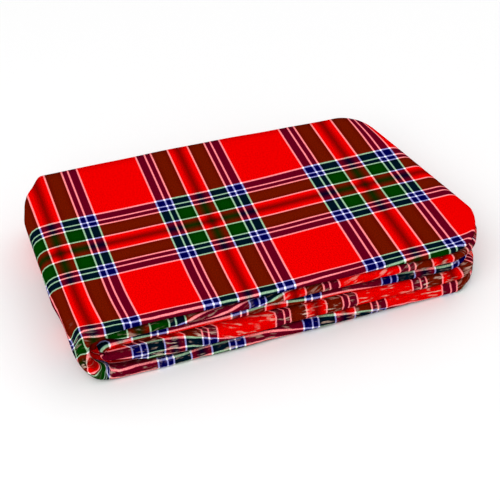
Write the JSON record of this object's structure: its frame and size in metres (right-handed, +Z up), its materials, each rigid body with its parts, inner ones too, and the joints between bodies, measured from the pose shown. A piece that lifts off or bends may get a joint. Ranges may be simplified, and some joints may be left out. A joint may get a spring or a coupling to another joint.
{
  "type": "folded fleece throw blanket",
  "caption": "Soft fleece throw in a red tartan, pleated and folded into a neat flat pack that lies on any level surface.",
  "frame": {"origin": "centre of the box around the folded throw, on the surface it lies on", "axes": "+Z up, +X along the long folded side towards the two rounded ends that show a notch, -Y towards the side of the rolled folds"},
  "size_m": [0.4354, 0.245, 0.0678],
  "materials": {
    "fleece": "plush"
  },
  "bodies": {
    "root": {"folded_throw": "fleece"}
  },
  "joints": []
}
